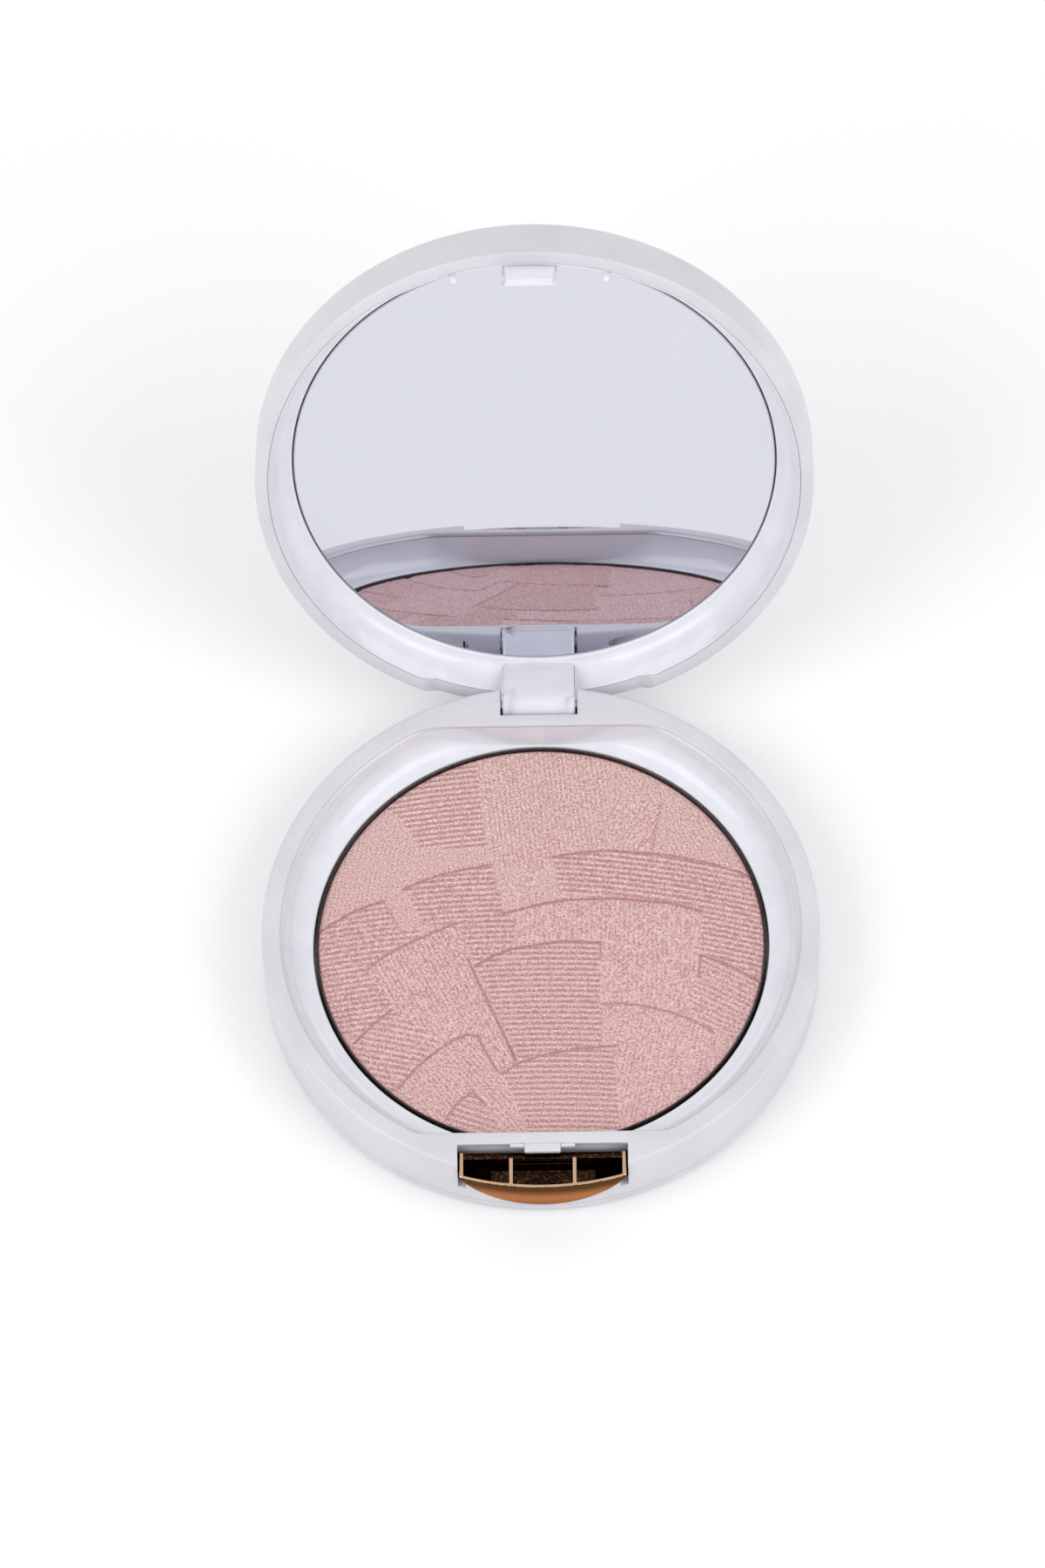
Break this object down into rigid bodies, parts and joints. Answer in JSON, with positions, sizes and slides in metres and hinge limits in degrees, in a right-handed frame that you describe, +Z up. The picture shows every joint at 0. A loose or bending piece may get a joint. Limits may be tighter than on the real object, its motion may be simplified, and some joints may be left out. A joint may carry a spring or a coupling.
{
  "type": "powder compact",
  "caption": "Round hinged makeup compact with a mirror lid, pressed powder pan and front push-button latch, shown open.",
  "frame": {"origin": "centre of the flat underside", "axes": "+Z up, the hinge at +Y, the push button at -Y, +X to the right seen from the button"},
  "size_m": [0.073, 0.1087, 0.0732],
  "materials": {
    "pearl_satin": "satin pearl-white moulded ABS",
    "pearl_gloss": "glossy pearl-white moulded ABS",
    "copper_button": "copper vacuum-metallised plastic",
    "mirror_glass": "silvered glass",
    "steel": "bright drawn wire",
    "pan_metal": "pressed sheet",
    "powder": "pressed shimmer powder with ribbed relief",
    "foam_tape": "white foam adhesive"
  },
  "bodies": {
    "base": {"bottom_cover": "pearl_satin", "base_shell": "pearl_satin", "inner_tray": "pearl_gloss", "powder_pan": "pan_metal", "powder_cake": "powder", "pan_glue_pad": "foam_tape", "hinge_pin": "steel", "button_spring_left": "steel", "button_spring_right": "steel"},
    "lid": {"lid_shell": "pearl_satin", "mirror_frame": "pearl_gloss", "mirror": "mirror_glass", "mirror_pad": "foam_tape"},
    "button": {"push_button": "copper_button"}
  },
  "joints": [
    {"name": "lid_hinge", "type": "hinge", "parent": "base", "child": "lid", "pos_m": [0, 0.0344, 0.009], "axis": [1, 0, 0], "range_deg": [0, 113.5]},
    {"name": "button_slide", "type": "slide", "parent": "base", "child": "button", "axis": [0, 1, 0], "range_m": [0, 0.0006], "stiffness_N_per_m": 800, "springref_m": -0.0004, "deforming": ["button_spring_left", "button_spring_right"]}
  ]
}
